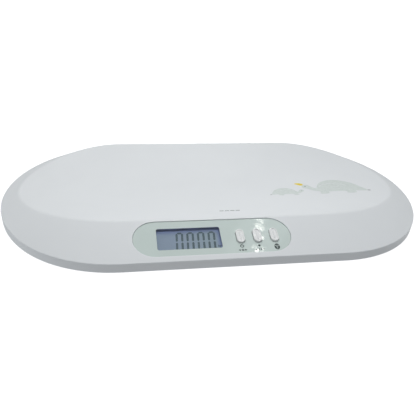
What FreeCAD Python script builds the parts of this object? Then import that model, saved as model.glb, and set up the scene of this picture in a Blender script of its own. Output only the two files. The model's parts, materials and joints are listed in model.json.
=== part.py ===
# Slim digital tray scale for weighing small animals, as an assembly of separate pieces.
# Row frame, millimetres: origin under the middle of the scale on the surface it stands on, +Z up,
# +X along the length (right of the display), +Y towards the back; the display faces -Y.
import FreeCAD, Part

import os
from math import atan2, cos, degrees, hypot, pi, radians, sin, tan

from FreeCAD import Placement, Rotation
from FreeCAD import Vector as V

# ---- driving dimensions ------------------------------------------------------------------
HALF_LENGTH, HALF_WIDTH = 281.6, 161.5      # outline of the rim, the widest part of the scale
RIM_CORNER_R = 144.5                        # the ends are three-centre curves: corner, end, corner
JOIN_ANGLE = 40.0                           # where corner and end arcs meet, seen from their centres

HEIGHT = 50.0                               # floor to the crest of the border
CREST_RISE = 17.6                           # crest above the rim, front and back
RIM_Z = HEIGHT - CREST_RISE
CREST_HALF_LENGTH, CREST_HALF_WIDTH = 229.7, 118.2
CREST_CORNER_R, CREST_Y = 94.0, 16.3        # the dish sits a little towards the back
CREST_FILLET, RIM_FILLET = 9.0, 1.0

DISH_FLOOR_RISE = 4.3                       # middle of the dish above the rim
DISH_END_RISE = 2.15                        # extra height of the dish floor at DISH_END_X
DISH_END_X = 250.0

WALL = 2.5
BAND_HEIGHT, BAND_DRAFT = 11.4, 0.4         # upright edge under the rim
BAND_Z = RIM_Z - BAND_HEIGHT

BASE_Z, BASE_FLOOR_Z = 10.0, 12.5           # underside and inside floor of the base shell
BASE_TOP_Z, BASE_STRIP = BAND_Z - 0.3, 1.2  # upright strip at the parting line
BASE_INSET, BASE_FLAT_INSET = 2.4, 24.0
LIP_INSET, BASE_WALL_INSET = 3.4, 5.2       # locating lip inside the tray's edge, and the inside of it
BASE_FILLET, STRIP_FILLET = 6.0, 0.8
LIP_TOP_Z = BAND_Z + 3.0
RIB_T, RIB_Z = 1.6, 27.5                    # stiffening ribs under the dish, and their lower edge
RIB_YS, RIB_XS = (-58.0, 72.0), (-140.0, -70.0, 70.0, 140.0)
PLATE_RECESS = (96.0, 46.0, 4.0, -92.0, -20.0)   # blank rating-plate recess: length, width, corner, x, y

# display panel, in deck coordinates: x, s up the slope from the rim edge, h out of the surface
PANEL_X, PANEL_S = -24.4, 34.0
PANEL_L, PANEL_W, PANEL_T = 186.6, 52.0, 1.4
PANEL_TOP, PANEL_GAP = -0.8, 0.3
PANEL_BACK = PANEL_TOP - PANEL_T
SEAT_MARGIN, SEAT_BACK = 2.5, -4.2          # thickening of the tray behind the panel
WINDOW_X, WINDOW_S, WINDOW_L, WINDOW_W, WINDOW_R = -53.1, 33.2, 74.8, 31.7, 2.4
GASKET_L, GASKET_W, GASKET_BACK = 82.0, 42.0, -4.9
GASKET_HOLE_L, GASKET_HOLE_W = 77.2, 38.0
LCD_L, LCD_W, LCD_BACK = 80.0, 39.0, -7.1
BACKLIGHT_L, BACKLIGHT_W = 80.0, 34.2
FRAME_WALL, FRAME_PEG_R = 1.6, 0.9
BOARD_TOP, BOARD_T = -12.0, 1.6
BOARD_X, BOARD_S, BOARD_L, BOARD_W = -23.0, 34.0, 170.0, 46.0
BOARD_BACK = BOARD_TOP - BOARD_T

CONNECTOR_XS = {"front_left": -84.0, "back_left": -66.0, "black": -46.0, "red": -30.0,
                "back_right": -10.0, "front_right": 12.0}
CONNECTOR_S, CONNECTOR_H = 50.0, 4.0
CABLE_R, LEAD_R = 1.2, 0.8

BUTTON_XS, BUTTON_S = (7.1, 27.6, 48.1), 32.5
BUTTON_NAMES = ("power_tare", "hold", "wireless")
BUTTON_W, BUTTON_L, BUTTON_TOP = 9.8, 19.8, 1.7
GROOVE_W, GROOVE_DEPTH, RIDGE_W = 6.6, 0.5, 1.8
BUTTON_CLEARANCE, BUTTON_TRAVEL = 0.4, 0.8
SWITCH_TOP, SWITCH_SIDE = -8.75, 6.0
PLUNGER_R, PLUNGER_TOP, PLUNGER_BOTTOM = 1.75, -7.8, -9.3

# load cells and feet
FOOT_X, FOOT_Y = 178.0, 88.0
FOOT_SITES = {
    "front_left": (-FOOT_X, -FOOT_Y),
    "front_right": (FOOT_X, -FOOT_Y),
    "back_left": (-FOOT_X, FOOT_Y),
    "back_right": (FOOT_X, FOOT_Y),
}
FOOT_R, FOOT_HOLE_R, FOOT_FLANGE_R = 17.5, 18.5, 20.0
FOOT_BOTTOM_Z, FOOT_TRAVEL = 2.5, 0.5
PAD_R, PAD_H = 15.5, 3.0
CELL_Z, CELL_T, CELL_SIDE = 15.0, 2.0, 36.0
CELL_FRAME_R, CELL_FRAME_TOP = 27.0, 18.5
CELL_SCREW_OFFSET, CELL_BOSS_R = 31.0, 4.5
RING_R, RING_BORE_R = 28.0, 21.0            # seat moulded in the base for each load cell
COLLAR_R, COLLAR_H = 24.0, 1.6              # raised collar round each foot on the underside

# battery compartment, centred on x = 0
BATTERY_Y = 30.0
CELL_LENGTH, CELL_R, CELL_PITCH = 44.5, 5.15, 10.9
CAVITY_X, CAVITY_Y, CAVITY_TOP = 25.3, 17.2, 23.4
TUB_WALL, LEDGE_Z = 1.7, 12.0
PLATE_T = 0.4                               # contact plates
CAP_TOUCH = CAVITY_X - PLATE_T - 0.1        # x of the face that a positive cap rests on
BATTERY_Z = 17.4
DOOR_X, DOOR_FRONT, DOOR_BACK, DOOR_T = 29.0, -20.9, 18.8, 1.7
DOOR_GAP, DOOR_WELL_W = 0.3, 42.8
HINGE_Y, HINGE_Z, HINGE_X = BATTERY_Y + 20.0, 11.0, 17.0
KNUCKLE_R, KNUCKLE_L, PEG_R, PEG_L = 0.95, 9.0, 0.5, 1.6
EAR_R, EAR_L = 0.98, 2.4                    # rounded blocks that hold the pegs

# case screws: eight sites, driven from below into posts under the tray
CASE_SCREW_SITES = (
    (-225.0, -45.0), (-225.0, 45.0), (225.0, -45.0), (225.0, 45.0),
    (-100.0, 112.0), (100.0, 112.0), (-138.0, -114.0), (100.0, -114.0),
)
POST_R, POST_BOTTOM_Z = 4.0, 16.2
SCREW_R, SCREW_CLEARANCE, SCREW_HEAD_R, SCREW_HEAD_H = 1.5, 0.2, 2.9, 2.0
SCREW_SEAT_Z, SCREW_TIP_Z = 13.6, 25.0

FAR = 60.0                                  # beyond the outside of everything, for cutters

# slope of the front deck, from the rim edge up to the crest
DECK_RUN = HALF_WIDTH - (CREST_HALF_WIDTH - CREST_Y)
DECK_ANGLE = degrees(atan2(CREST_RISE, DECK_RUN))


# ---- outlines and simple solids -----------------------------------------------------------
def arc(cx, cy, radius, start, end, z):
    """Arc edge about (cx, cy) between two angles in radians."""
    points = [V(cx + radius * cos(a), cy + radius * sin(a), z) for a in (start, (start + end) / 2, end)]
    return Part.Arc(*points).toShape()


def line(a, b):
    return Part.LineSegment(a, b).toShape()


def oval(half_length, half_width, corner_r, z, y0=0.0):
    """Three-centre oval with straight long sides, tangent at every join."""
    phi = radians(JOIN_ANGLE)
    yc = half_width - corner_r
    end_r = corner_r + yc / sin(phi)
    xe = half_length - end_r
    xc = xe + yc / tan(phi)
    return Part.Wire([
        arc(xe, y0, end_r, -phi, phi, z),
        arc(xc, y0 + yc, corner_r, phi, pi / 2, z),
        line(V(xc, y0 + half_width, z), V(-xc, y0 + half_width, z)),
        arc(-xc, y0 + yc, corner_r, pi / 2, pi - phi, z),
        arc(-xe, y0, end_r, pi - phi, pi + phi, z),
        arc(-xc, y0 - yc, corner_r, pi + phi, 1.5 * pi, z),
        line(V(-xc, y0 - half_width, z), V(xc, y0 - half_width, z)),
        arc(xc, y0 - yc, corner_r, 1.5 * pi, 2 * pi - phi, z),
    ])


def rim_outline(inset, z):
    return oval(HALF_LENGTH - inset, HALF_WIDTH - inset, RIM_CORNER_R - inset, z)


def border_outline(share, drop):
    """Outline of the sloping border: share 0 is the rim, 1 the crest, more is beyond it."""
    def between(a, b):
        return a + (b - a) * share
    return oval(
        between(HALF_LENGTH, CREST_HALF_LENGTH), between(HALF_WIDTH, CREST_HALF_WIDTH),
        between(RIM_CORNER_R, CREST_CORNER_R), RIM_Z + CREST_RISE * share - drop, CREST_Y * share,
    )


def loft(low, high):
    return Part.makeLoft([low, high], True, True)


def slab(wire, height):
    """Prism on a flat closed wire, height up along Z."""
    return Part.Face(wire).extrude(V(0, 0, height))


def rounded(length, width, radius, cx, cy, z0, z1):
    """Upright prism with rounded corners; a radius of half the width makes it a slot shape."""
    dx, dy = length / 2 - radius, width / 2 - radius
    centres = ((dx, dy), (-dx, dy), (-dx, -dy), (dx, -dy))
    edges = [arc(cx + x, cy + y, radius, quarter * pi / 2, (quarter + 1) * pi / 2, z0)
             for quarter, (x, y) in enumerate(centres)]
    joined = []
    for first, second in zip(edges, edges[1:] + edges[:1]):
        joined.append(first)
        start, end = first.valueAt(first.LastParameter), second.valueAt(second.FirstParameter)
        if start.distanceToPoint(end) > 1e-6:
            joined.append(line(start, end))
    return slab(Part.Wire(joined), z1 - z0)


def box(x0, x1, y0, y1, z0, z1):
    return Part.makeBox(x1 - x0, y1 - y0, z1 - z0, V(x0, y0, z0))


def rod(radius, x, y, z0, z1):
    return Part.makeCylinder(radius, z1 - z0, V(x, y, z0))


def fused(shapes):
    return shapes[0].multiFuse(shapes[1:]).removeSplitter()


def on_deck(shape):
    """Carries a shape drawn in deck coordinates (x, s, h) onto the sloping front deck."""
    placed = shape.copy()
    placed.Placement = Placement(V(0, -HALF_WIDTH, RIM_Z), Rotation(V(1, 0, 0), DECK_ANGLE))
    return placed


def deck_point(x, s, h):
    a = radians(DECK_ANGLE)
    return V(x, -HALF_WIDTH + s * cos(a) - h * sin(a), RIM_Z + s * sin(a) + h * cos(a))


def edges_where(solid, test, samples=6):
    """Edges all of whose sample points pass the test."""
    found = []
    for edge in solid.Edges:
        first, span = edge.FirstParameter, edge.LastParameter - edge.FirstParameter
        if all(test(edge.valueAt(first + span * k / samples)) for k in range(samples + 1)):
            found.append(edge)
    return found


def screw(x, y, seat_z, tip_z, head_r=SCREW_HEAD_R, head_h=SCREW_HEAD_H, shank_r=SCREW_R, head_up=True):
    """Pan-head screw with a cross recess; the head lies above its seat, or below it."""
    way = 1 if head_up else -1
    head = Part.makeCylinder(head_r, head_h, V(x, y, seat_z), V(0, 0, way))
    crown = edges_where(head, lambda p: abs(p.z - (seat_z + way * head_h)) < 1e-6)
    head = head.makeFillet(head_h * 0.35, crown)
    shank = Part.makeCylinder(shank_r, abs(seat_z - tip_z), V(x, y, seat_z), V(0, 0, -way))
    tip = edges_where(shank, lambda p: abs(p.z - tip_z) < 1e-6)
    shank = shank.makeChamfer(shank_r * 0.4, tip)
    body = head.fuse(shank)
    slot_l, slot_w, depth = head_r * 0.62, head_r * 0.13, head_h * 0.55
    top = seat_z + way * head_h
    low, high = min(top, top - way * depth), max(top, top - way * depth)
    cross = box(x - slot_l, x + slot_l, y - slot_w, y + slot_w, low, high)
    cross = cross.fuse(box(x - slot_w, x + slot_w, y - slot_l, y + slot_l, low, high))
    return body.cut(cross).removeSplitter()


# ---- casing ---------------------------------------------------------------------------------
def above_dish(drop):
    """Everything above the dish surface, which is a parabola both ways, lowered by drop."""
    reach_x, reach_y = HALF_LENGTH + 40.0, HALF_WIDTH + 40.0
    across = (CREST_RISE - DISH_FLOOR_RISE) / CREST_HALF_WIDTH ** 2
    along = DISH_END_RISE / DISH_END_X ** 2
    y0, y1 = -reach_y - CREST_Y, reach_y - CREST_Y
    x_poles = (reach_x ** 2, -reach_x ** 2, reach_x ** 2)
    y_poles = (y0 * y0, y0 * y1, y1 * y1)
    surface = Part.BezierSurface()
    surface.increase(2, 2)
    for i, x in enumerate((-reach_x, 0.0, reach_x)):
        for j, y in enumerate((-reach_y, 0.0, reach_y)):
            z = RIM_Z + DISH_FLOOR_RISE - drop + along * x_poles[i] + across * y_poles[j]
            surface.setPole(i + 1, j + 1, V(x, y, z))
    return surface.toShape().extrude(V(0, 0, FAR))


def tray_outside():
    band = loft(rim_outline(BAND_DRAFT, BAND_Z), rim_outline(0, RIM_Z))
    border = loft(border_outline(0, 0), border_outline(1.5, 0))
    solid = band.fuse(border).cut(above_dish(0)).removeSplitter().Solids[0]
    crest = edges_where(solid, lambda p: p.z > RIM_Z + 4.0)
    solid = solid.makeFillet(CREST_FILLET, crest).Solids[0]
    edge = edges_where(solid, lambda p: abs(p.z - RIM_Z) < 1e-3)
    return solid.makeFillet(RIM_FILLET, edge).Solids[0]


def tray_inside():
    drop = WALL + 0.2
    low = slab(rim_outline(0, BAND_Z - 1), CREST_RISE)
    low = low.common(box(-FAR * 6, FAR * 6, -FAR * 4, FAR * 4, 0, RIM_Z - drop))
    border = loft(border_outline(0, drop), border_outline(1.5, drop))
    room = low.fuse(border).common(slab(rim_outline(WALL + BAND_DRAFT, BAND_Z - 1), FAR))
    return room.cut(above_dish(WALL + 0.1)).Solids[0]


def button_holes(bottom, top):
    """Cutters for the button holes, through the panel and the tray seat behind it."""
    grow = BUTTON_CLEARANCE * 2
    return [rounded(BUTTON_W + grow, BUTTON_L + grow, (BUTTON_W + grow) / 2, x, BUTTON_S, bottom, top)
            for x in BUTTON_XS]


def board_screw_sites():
    dx, ds = BOARD_L / 2 - 7.0, BOARD_W / 2 - 6.0
    return [(BOARD_X + i * dx, BOARD_S + j * ds) for i in (-1, 1) for j in (-1, 1)]


def tray():
    inside = tray_inside()
    shell = tray_outside().cut(inside)
    posts = [rod(POST_R, x, y, POST_BOTTOM_Z, FAR).common(inside) for x, y in CASE_SCREW_SITES]
    ribs = [box(-200, 200, y - RIB_T / 2, y + RIB_T / 2, RIB_Z, FAR) for y in RIB_YS]
    ribs += [box(x - RIB_T / 2, x + RIB_T / 2, -84, 118, RIB_Z, FAR) for x in RIB_XS]
    ribs = [r.common(inside) for r in ribs]
    seat = rounded(PANEL_L + 2 * SEAT_MARGIN, PANEL_W + 2 * SEAT_MARGIN, PANEL_W / 2 + SEAT_MARGIN,
                   PANEL_X, PANEL_S, SEAT_BACK, -1.0)
    board_posts = [rod(3.0, x, s, BOARD_TOP, SEAT_BACK + 0.5) for x, s in board_screw_sites()]
    shell = shell.multiFuse(posts + ribs + [on_deck(p) for p in [seat] + board_posts])
    recess = rounded(PANEL_L + 2 * PANEL_GAP, PANEL_W + 2 * PANEL_GAP, PANEL_W / 2 + PANEL_GAP,
                     PANEL_X, PANEL_S, PANEL_BACK, FAR)
    window = rounded(GASKET_L + 0.4, GASKET_W + 0.4, 2.0, WINDOW_X, WINDOW_S, SEAT_BACK - 1, PANEL_BACK + 1)
    pilots = [rod(1.05, x, s, BOARD_TOP - 1, BOARD_TOP + 6) for x, s in board_screw_sites()]
    cutters = [on_deck(c) for c in [recess, window] + button_holes(SEAT_BACK - 1, 0) + pilots]
    cutters += [rod(SCREW_R + 0.05, x, y, POST_BOTTOM_Z - 1, SCREW_TIP_Z + 1) for x, y in CASE_SCREW_SITES]
    return shell.cut(Part.makeCompound(cutters)).removeSplitter()


def base_outside():
    strip_z = BASE_TOP_Z - BASE_STRIP
    strip = slab(rim_outline(BASE_INSET, strip_z), BASE_STRIP)
    skirt = loft(rim_outline(BASE_FLAT_INSET, BASE_Z), rim_outline(BASE_INSET, strip_z))
    solid = strip.fuse(skirt).removeSplitter().Solids[0]
    for z, radius in ((BASE_Z, BASE_FILLET), (strip_z, STRIP_FILLET)):
        solid = solid.makeFillet(radius, edges_where(solid, lambda p: abs(p.z - z) < 1e-3)).Solids[0]
    return solid


def base_shell():
    mouth = rim_outline(BASE_WALL_INSET, BASE_TOP_Z - 0.6)
    hollow = loft(rim_outline(BASE_FLAT_INSET + 4.0, BASE_FLOOR_Z), mouth).fuse(slab(mouth, FAR))
    lip = slab(rim_outline(LIP_INSET, BASE_TOP_Z - 1.0), LIP_TOP_Z - BASE_TOP_Z + 1.0)
    return base_outside().fuse(lip).cut(hollow)


def battery_tub():
    """Walls and roof round the cells, with a thickened frame for the cover to lie in."""
    frame = box(-DOOR_X - 3, DOOR_X + 3, BATTERY_Y - 24.5, BATTERY_Y + 24.5, BASE_FLOOR_Z - 1, 14.2)
    tub = box(-CAVITY_X - TUB_WALL, CAVITY_X + TUB_WALL, BATTERY_Y - CAVITY_Y - TUB_WALL,
              BATTERY_Y + CAVITY_Y + TUB_WALL, BASE_FLOOR_Z, CAVITY_TOP + TUB_WALL)
    return [frame, tub]


def battery_cuts():
    cavity = box(-CAVITY_X, CAVITY_X, BATTERY_Y - CAVITY_Y, BATTERY_Y + CAVITY_Y, BASE_Z - 1, CAVITY_TOP)
    door_well = rounded(2 * (DOOR_X + DOOR_GAP), DOOR_WELL_W, 1.5, 0, BATTERY_Y, BASE_Z - 1, LEDGE_Z)
    finger = Part.makeCylinder(8.0, 1.4, V(0, BATTERY_Y - 22.0, BASE_Z - 0.01))
    return [cavity, door_well, finger]


def hinge_ears():
    """Two small blocks in the cover's well, each with a hole for one of the cover's pegs."""
    ears = []
    for side in (-1, 1):
        near = HINGE_X + KNUCKLE_L / 2 + 0.3
        x0, x1 = sorted((side * near, side * (near + EAR_L)))
        block = box(x0, x1, HINGE_Y - EAR_R, HINGE_Y + EAR_R, HINGE_Z, LEDGE_Z + 0.5)
        round_end = Part.makeCylinder(EAR_R, EAR_L, V(x0, HINGE_Y, HINGE_Z), V(1, 0, 0))
        socket = Part.makeCylinder(PEG_R + 0.08, FAR, V(0, HINGE_Y, HINGE_Z), V(side, 0, 0))
        ears.append(block.fuse(round_end).cut(socket))
    return ears


def base():
    additions, cuts = battery_tub(), battery_cuts()
    for x, y in FOOT_SITES.values():
        ring = rod(RING_R, x, y, BASE_FLOOR_Z - 1, CELL_Z)
        collar = Part.makeCone(COLLAR_R - 1.5, COLLAR_R, COLLAR_H, V(x, y, BASE_Z - COLLAR_H))
        additions += [ring, collar]
        cuts += [rod(FOOT_HOLE_R, x, y, 0, BASE_FLOOR_Z), rod(RING_BORE_R, x, y, BASE_FLOOR_Z, CELL_Z + 1)]
        for boss_y in (y - CELL_SCREW_OFFSET, y + CELL_SCREW_OFFSET):
            additions.append(rod(CELL_BOSS_R, x, boss_y, BASE_FLOOR_Z - 1, CELL_Z))
            cuts.append(rod(1.25, x, boss_y, BASE_FLOOR_Z, CELL_Z + 1))
    for x, y in CASE_SCREW_SITES:
        additions.append(rod(POST_R + 1.5, x, y, BASE_FLOOR_Z - 1, POST_BOTTOM_Z - 0.2))
        cuts.append(rod(SCREW_HEAD_R + 0.4, x, y, 0, SCREW_SEAT_Z))
        cuts.append(rod(SCREW_R + SCREW_CLEARANCE, x, y, SCREW_SEAT_Z - 1, POST_BOTTOM_Z + 1))
    cuts.append(rounded(*PLATE_RECESS, BASE_Z - 1, BASE_Z + 0.5))
    cuts += [rounded(220, 6, 3, 0, y, BASE_Z - 1, BASE_Z + 0.8) for y in (-70.0, 96.0)]   # shallow channels
    shell = base_shell().multiFuse(additions).cut(Part.makeCompound(cuts))
    return shell.multiFuse(hinge_ears()).removeSplitter()


# ---- display and buttons ----------------------------------------------------------------------
def display_panel():
    plate = rounded(PANEL_L, PANEL_W, PANEL_W / 2, PANEL_X, PANEL_S, PANEL_BACK, PANEL_TOP)
    top = edges_where(plate, lambda p: abs(p.z - PANEL_TOP) < 1e-6)
    plate = plate.makeFillet(0.35, top)
    window = rounded(WINDOW_L, WINDOW_W, WINDOW_R, WINDOW_X, WINDOW_S, PANEL_BACK - 1, PANEL_TOP + 1)
    holes = button_holes(PANEL_BACK - 1, PANEL_TOP + 1)
    return on_deck(plate.cut(Part.makeCompound([window] + holes)))


def display_lens():
    gap = 0.1
    pane = rounded(WINDOW_L - gap, WINDOW_W - gap, WINDOW_R - gap / 2, WINDOW_X, WINDOW_S,
                   PANEL_BACK, PANEL_TOP)
    return on_deck(pane)


def display_gasket():
    frame = rounded(GASKET_L, GASKET_W, 1.8, WINDOW_X, WINDOW_S, GASKET_BACK, PANEL_BACK)
    hole = rounded(GASKET_HOLE_L, GASKET_HOLE_W, WINDOW_R, WINDOW_X, WINDOW_S, GASKET_BACK - 1, PANEL_BACK + 1)
    return on_deck(frame.cut(hole))


def lcd_glass():
    """Two bonded panes, the lower one longer towards the back edge to carry the contact ledge."""
    half_s, ledge, pane = LCD_W / 2, 4.0, (GASKET_BACK - LCD_BACK) / 2
    x0, x1 = WINDOW_X - LCD_L / 2, WINDOW_X + LCD_L / 2
    upper = box(x0, x1, WINDOW_S - half_s, WINDOW_S + half_s, LCD_BACK + pane, GASKET_BACK)
    lower = box(x0, x1, WINDOW_S - half_s, WINDOW_S + half_s - ledge, LCD_BACK, LCD_BACK + pane)
    return on_deck(upper.fuse(lower).removeSplitter())


def lcd_backlight():
    s0 = WINDOW_S - LCD_W / 2
    x0, x1 = WINDOW_X - BACKLIGHT_L / 2, WINDOW_X + BACKLIGHT_L / 2
    light = box(x0, x1, s0, s0 + BACKLIGHT_W, LCD_BACK - 3.5, LCD_BACK)
    tabs = [box(x, x + 3, s0 + 3, s0 + BACKLIGHT_W - 3, LCD_BACK - 4.4, LCD_BACK - 3.4)
            for x in (x0 + 4, x1 - 7)]
    return on_deck(fused([light] + tabs))


def frame_peg_sites():
    dx = LCD_L / 2 + 0.2 + FRAME_WALL / 2
    return [(WINDOW_X + i * dx, WINDOW_S + j * 12.0) for i in (-1, 1) for j in (-1, 1)]


def lcd_frame():
    """Holder that keeps glass and backlight square on the board, with four pegs into the board."""
    wall = FRAME_WALL
    room_l, room_w = LCD_L + 0.4, LCD_W + 0.4
    top = LCD_BACK + 1.2
    ring = rounded(room_l + 2 * wall, room_w + 2 * wall, 2.0, WINDOW_X, WINDOW_S, BOARD_TOP, top)
    room = box(WINDOW_X - room_l / 2, WINDOW_X + room_l / 2, WINDOW_S - room_w / 2, WINDOW_S + room_w / 2,
               BOARD_TOP - 1, top + 1)
    pegs = [rod(FRAME_PEG_R, x, s, BOARD_BACK, BOARD_TOP + 0.5) for x, s in frame_peg_sites()]
    return on_deck(ring.cut(room).multiFuse(pegs).removeSplitter())


def zebra_strip():
    s1 = WINDOW_S + LCD_W / 2
    top = (GASKET_BACK + LCD_BACK) / 2
    return on_deck(box(WINDOW_X - 37, WINDOW_X + 37, s1 - 3.0, s1 - 0.8, BOARD_TOP, top))


def button(x):
    """Oval key cap with a rim, a racetrack groove and a ridge; a flange keeps it under the tray seat."""
    cap = rounded(BUTTON_W, BUTTON_L, BUTTON_W / 2, x, BUTTON_S, SEAT_BACK - 0.6, BUTTON_TOP)
    cap = cap.makeFillet(0.7, edges_where(cap, lambda p: abs(p.z - BUTTON_TOP) < 1e-6))
    rim = (BUTTON_W - GROOVE_W) / 2
    groove = rounded(GROOVE_W, BUTTON_L - 2 * rim, GROOVE_W / 2, x, BUTTON_S, BUTTON_TOP - GROOVE_DEPTH,
                     BUTTON_TOP + 1)
    ridge_l = BUTTON_L - 2 * rim - (GROOVE_W - RIDGE_W)
    ridge = rounded(RIDGE_W, ridge_l, RIDGE_W / 2, x, BUTTON_S, BUTTON_TOP - 2 * GROOVE_DEPTH, BUTTON_TOP)
    ridge = ridge.makeFillet(0.5, edges_where(ridge, lambda p: abs(p.z - BUTTON_TOP) < 1e-6))
    flange_top = SEAT_BACK - 0.2
    flange = rounded(BUTTON_W + 3.4, BUTTON_L + 3.0, 3.0, x, BUTTON_S, flange_top - 1.2, flange_top)
    stem = rod(2.5, x, BUTTON_S, PLUNGER_TOP, flange_top - 1.0)
    return on_deck(cap.cut(groove).multiFuse([ridge, flange, stem]).removeSplitter())


def switch_plunger(x):
    return on_deck(rod(PLUNGER_R, x, BUTTON_S, PLUNGER_BOTTOM, PLUNGER_TOP))


def tact_switches():
    bodies = []
    half = SWITCH_SIDE / 2
    for x in BUTTON_XS:
        body = box(x - half, x + half, BUTTON_S - half, BUTTON_S + half, BOARD_TOP, SWITCH_TOP)
        bore = rod(PLUNGER_R + 0.1, x, BUTTON_S, PLUNGER_BOTTOM - BUTTON_TRAVEL - 0.15, SWITCH_TOP + 1)
        legs = [box(x + i * (half + 0.5) - 0.5, x + i * (half + 0.5) + 0.5, BUTTON_S + j * 2.2 - 0.35,
                    BUTTON_S + j * 2.2 + 0.35, BOARD_TOP, BOARD_TOP + 1.4) for i in (-1, 1) for j in (-1, 1)]
        bodies.append(body.cut(bore).multiFuse(legs).removeSplitter())
    return on_deck(Part.makeCompound(bodies))


# ---- circuit board ----------------------------------------------------------------------------
def circuit_board():
    board = rounded(BOARD_L, BOARD_W, 3.0, BOARD_X, BOARD_S, BOARD_BACK, BOARD_TOP)
    holes = [rod(1.3, x, s, BOARD_BACK - 1, BOARD_TOP + 1) for x, s in board_screw_sites()]
    holes += [rod(FRAME_PEG_R + 0.1, x, s, BOARD_BACK - 1, BOARD_TOP + 1) for x, s in frame_peg_sites()]
    return on_deck(board.cut(Part.makeCompound(holes)))


def board_screws():
    heads = []
    for x, s in board_screw_sites():
        heads.append(screw(x, s, BOARD_BACK, BOARD_TOP + 5.0, 2.3, 1.5, 1.0, head_up=False))
    return on_deck(Part.makeCompound(heads))


def board_components():
    """Processor under its blob of resin, amplifier, regulator and two rows of small parts."""
    back = BOARD_BACK
    blob = Part.makeSphere(14, V(-55, 30, back + 11.5)).common(box(-80, -30, 5, 60, back - 5, back))
    chips = [box(-2, 8, 24, 31, back - 1.8, back), box(22, 27, 24, 28, back - 1.4, back)]
    small = [box(x, x + 2.0, s, s + 1.25, back - 0.8, back) for s in (18.0, 40.0) for x in range(-90, 5, 12)]
    can = rod(3.2, 38, 40, back - 6.0, back)
    return on_deck(Part.makeCompound([blob, can] + chips + small))


def wireless_module():
    """Small radio board with a shield can and a printed aerial end left bare."""
    back = BOARD_BACK
    board = box(10, 30, 10.8, 20.8, back - 0.8, back)
    return on_deck(fused([board, rounded(12, 8.6, 0.6, 22, 15.8, back - 2.8, back - 0.7)]))


def board_connectors():
    sockets = []
    for name, x in CONNECTOR_XS.items():
        half = 3.0 if name in ("red", "black") else 4.5
        sockets.append(box(x - half, x + half, CONNECTOR_S - 2.6, CONNECTOR_S + 2.6,
                           BOARD_BACK - CONNECTOR_H, BOARD_BACK))
    return on_deck(Part.makeCompound(sockets))


# ---- load cells and feet ------------------------------------------------------------------------
def load_cell(x, y):
    """Stamped steel bending plate: a tongue left free by a U-shaped slot carries the foot."""
    plate = rounded(CELL_SIDE, CELL_SIDE, 2.5, x, y, CELL_Z, CELL_Z + CELL_T)
    slot_u = rounded(25, 25, 2.0, x, y, CELL_Z - 1, CELL_Z + CELL_T + 1)
    tongue = rounded(21, 21, 1.5, x, y, CELL_Z - 2, CELL_Z + CELL_T + 2)
    neck = box(x - 7, x + 7, y, y + 20, CELL_Z - 2, CELL_Z + CELL_T + 2)
    return plate.cut(slot_u.cut(tongue.fuse(neck)))


def strain_gauges():
    """A foil gauge at the root of each tongue, and the silicone that seals the cable to it."""
    top = CELL_Z + CELL_T
    pieces = []
    for x, y in FOOT_SITES.values():
        pieces.append(box(x - 5, x + 5, y + 7.0, y + 12.0, top, top + 0.3))
        pieces.append(rounded(8, 8, 1.5, x, y - 2, top, top + 4.0))
    return Part.makeCompound(pieces)


def cell_frame(x, y):
    """Ring that clamps a load cell onto its seat, with an ear for a screw at front and back."""
    disc = rod(CELL_FRAME_R, x, y, CELL_Z, CELL_FRAME_TOP)
    ear_y, reach = CELL_SCREW_OFFSET, CELL_SCREW_OFFSET + CELL_BOSS_R
    ears = rounded(2 * CELL_BOSS_R, 2 * reach, CELL_BOSS_R, x, y, CELL_Z, CELL_FRAME_TOP)
    room = CELL_SIDE + 0.4
    pocket = box(x - room / 2, x + room / 2, y - room / 2, y + room / 2, CELL_Z - 1, CELL_Z + CELL_T)
    window = rod(15.0, x, y, CELL_Z, CELL_FRAME_TOP + 1)
    holes = [rod(1.4, x, y + side * ear_y, CELL_Z - 1, CELL_FRAME_TOP + 1) for side in (-1, 1)]
    return disc.fuse(ears).cut(Part.makeCompound([pocket, window] + holes)).removeSplitter()


def cell_screws():
    return Part.makeCompound([
        screw(x, y + side * CELL_SCREW_OFFSET, CELL_FRAME_TOP, BASE_FLOOR_Z + 0.2, 2.4, 1.6, 1.2)
        for x, y in FOOT_SITES.values() for side in (-1, 1)
    ])


def foot(x, y):
    """Cup that hangs in its hole by a flange and pushes the load cell's tongue with its middle post."""
    flange_z = BASE_FLOOR_Z + 0.2
    puck = rod(FOOT_R, x, y, FOOT_BOTTOM_Z, flange_z + 0.5)
    puck = puck.makeFillet(1.2, edges_where(puck, lambda p: abs(p.z - FOOT_BOTTOM_Z) < 1e-6))
    flange = rod(FOOT_FLANGE_R, x, y, flange_z, flange_z + 1.5)
    post = rod(4.0, x, y, flange_z, CELL_Z)
    pocket = rod(PAD_R + 0.1, x, y, FOOT_BOTTOM_Z - 1, PAD_H)
    hollow = rod(13.0, x, y, 6.0, CELL_Z + 1).cut(rod(5.5, x, y, 5.0, CELL_Z + 2))
    puck = puck.fuse(flange).cut(hollow)
    return puck.fuse(post).cut(pocket).removeSplitter()


def foot_pad(x, y):
    """Rubber disc with rounded edges and two shallow ring grooves in its sole."""
    pad = rod(PAD_R, x, y, 0, PAD_H)
    pad = pad.makeFillet(0.8, edges_where(pad, lambda p: abs(p.z) < 1e-6))
    for outer in (11.0, 6.5):
        pad = pad.cut(rod(outer, x, y, -1, 0.6).cut(rod(outer - 1.2, x, y, -1, 1)))
    return pad


# ---- batteries ----------------------------------------------------------------------------------
def battery_sites():
    """(y, end): end is +1 where the cell's positive cap points along +X."""
    return [(BATTERY_Y - CELL_PITCH, -1), (BATTERY_Y, 1), (BATTERY_Y + CELL_PITCH, -1)]


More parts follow.
